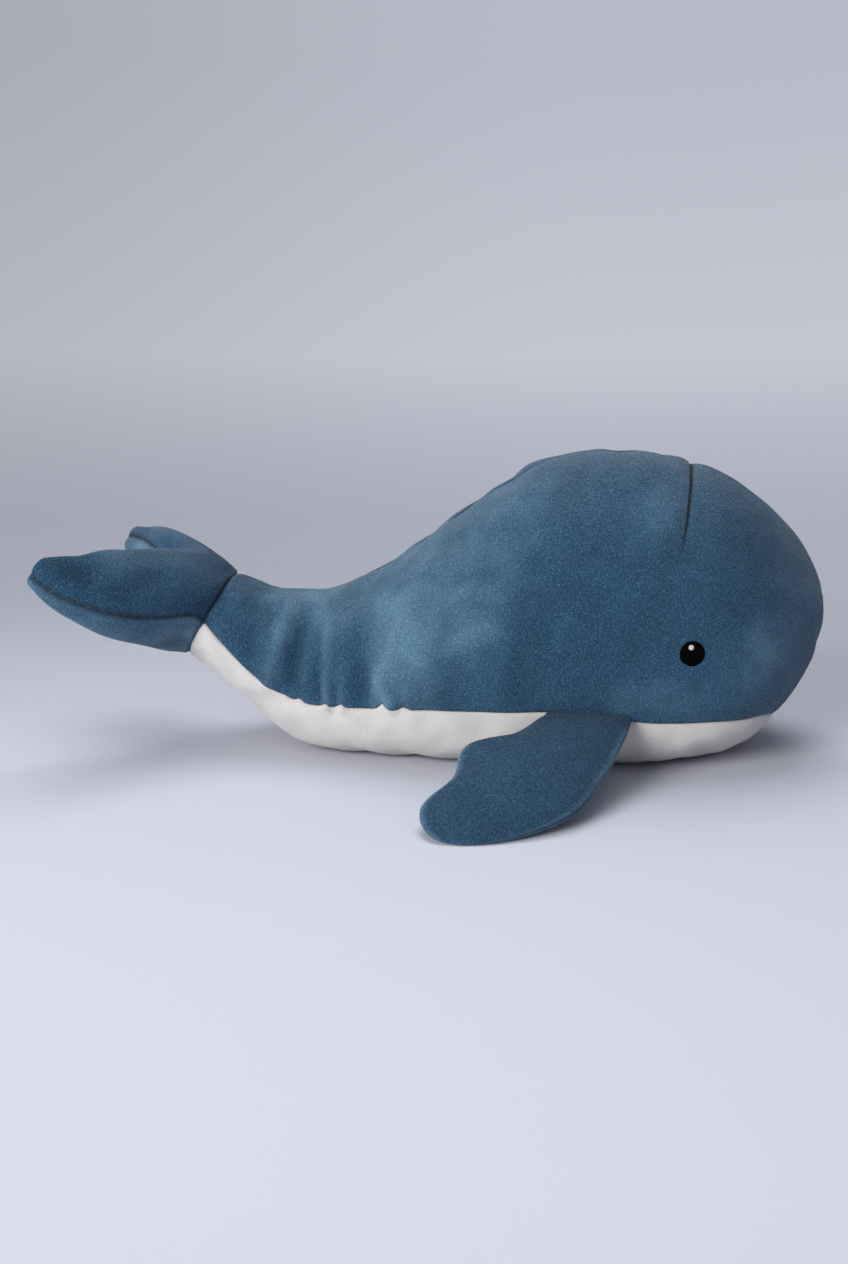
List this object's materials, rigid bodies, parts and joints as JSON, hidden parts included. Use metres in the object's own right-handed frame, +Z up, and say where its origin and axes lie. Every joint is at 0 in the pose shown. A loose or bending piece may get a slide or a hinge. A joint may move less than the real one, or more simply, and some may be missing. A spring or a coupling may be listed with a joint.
{
  "type": "plush whale",
  "caption": "Soft stuffed whale toy with a rounded head, cream belly panel, embroidered eyes, flexing side fins and a flexing two-lobed tail fluke.",
  "frame": {"origin": "under the middle of the whale's length and width, on the plane it lies on", "axes": "+X towards the nose, +Y towards the whale's left side, +Z up"},
  "size_m": [0.3986, 0.3154, 0.1569],
  "materials": {
    "blue_plush": "short soft pile, matt with a faint sheen",
    "cream_plush": "short soft pile, matt",
    "black_thread": "satin stitch, slightly glossy",
    "white_thread": "satin stitch, slightly glossy",
    "fibrefill": "loose polyester fibre, matt"
  },
  "bodies": {
    "body": {"side_panel_right": "blue_plush", "side_panel_left": "blue_plush", "belly_panel": "cream_plush", "torso_stuffing": "fibrefill", "tail_stuffing": "fibrefill", "eye_right": "black_thread", "eye_left": "black_thread", "eye_glint_right": "white_thread", "eye_glint_left": "white_thread"},
    "fin_right": {"fin_right_upper_panel": "blue_plush", "fin_right_lower_panel": "blue_plush", "fin_right_stuffing": "fibrefill"},
    "fin_left": {"fin_left_upper_panel": "blue_plush", "fin_left_lower_panel": "blue_plush", "fin_left_stuffing": "fibrefill"},
    "fluke": {"fluke_upper_panel": "blue_plush", "fluke_lower_panel": "blue_plush", "fluke_base_stuffing": "fibrefill", "fluke_lobe_right_stuffing": "fibrefill", "fluke_lobe_left_stuffing": "fibrefill"}
  },
  "joints": [
    {"name": "fin_right_flap", "type": "hinge", "parent": "body", "child": "fin_right", "pos_m": [0.06627, -0.07459, 0.03077], "axis": [-0.9981, 0.0518, 0.0321], "range_deg": [-30, 60], "stiffness_Nm_per_rad": 0.05},
    {"name": "fin_left_flap", "type": "hinge", "parent": "body", "child": "fin_left", "pos_m": [0.06627, 0.07459, 0.03077], "axis": [0.9981, 0.0518, -0.0321], "range_deg": [-30, 60], "stiffness_Nm_per_rad": 0.05},
    {"name": "tail_fluke_flex", "type": "hinge", "parent": "body", "child": "fluke", "pos_m": [-0.12767, 0, 0.06951], "axis": [0, 1, 0], "range_deg": [-15, 15], "stiffness_Nm_per_rad": 0.3}
  ]
}
